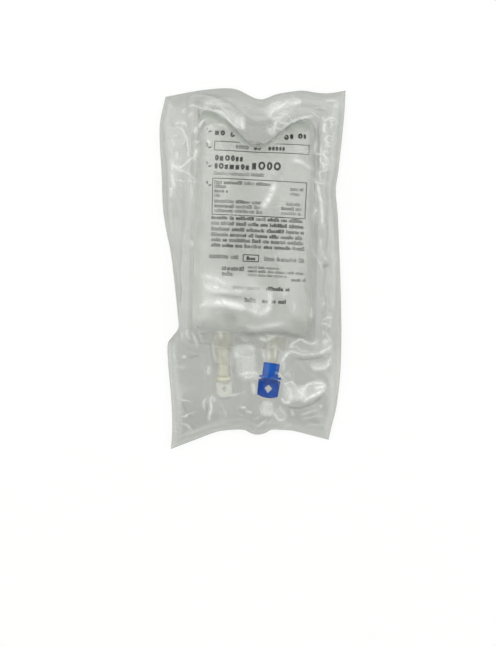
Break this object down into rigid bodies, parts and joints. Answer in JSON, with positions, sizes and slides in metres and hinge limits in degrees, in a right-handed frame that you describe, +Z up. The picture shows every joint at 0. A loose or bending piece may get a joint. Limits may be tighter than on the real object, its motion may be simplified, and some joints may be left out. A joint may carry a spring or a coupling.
{
  "type": "infusion fluid bag",
  "caption": "Filled infusion fluid bag with two snap-off ports, sealed in a clear crumpled overwrap and lying flat on its back.",
  "frame": {"origin": "on the surface it lies on, under the middle of the overwrap", "axes": "+Z up from the surface, +Y towards the bag's hanging end, +X to the side of the blue port"},
  "size_m": [0.1567, 0.3039, 0.0417],
  "materials": {
    "overwrap_film": "glossy, slightly milky polyolefin film",
    "bag_film": "satin clear film",
    "saline": "clear fluid",
    "port_clear": "clear moulded polypropylene",
    "stopper_rubber": "matt cream rubber",
    "ivory_plastic": "satin moulded",
    "white_plastic": "satin moulded",
    "blue_collar": "satin moulded",
    "blue_tab": "satin moulded",
    "print_ink": "dark grey printed ink"
  },
  "bodies": {
    "root": {"overwrap_back_film": "overwrap_film", "overwrap_front_film": "overwrap_film", "bag_back_film": "bag_film", "bag_front_film": "bag_film", "saline_fluid": "saline", "injection_port_body": "port_clear", "injection_port_stopper": "stopper_rubber", "injection_port_ring": "ivory_plastic", "injection_port_tab": "white_plastic", "infusion_port_body": "port_clear", "infusion_port_membrane": "stopper_rubber", "infusion_port_collar": "blue_collar", "infusion_port_tab": "blue_tab"}
  },
  "joints": []
}
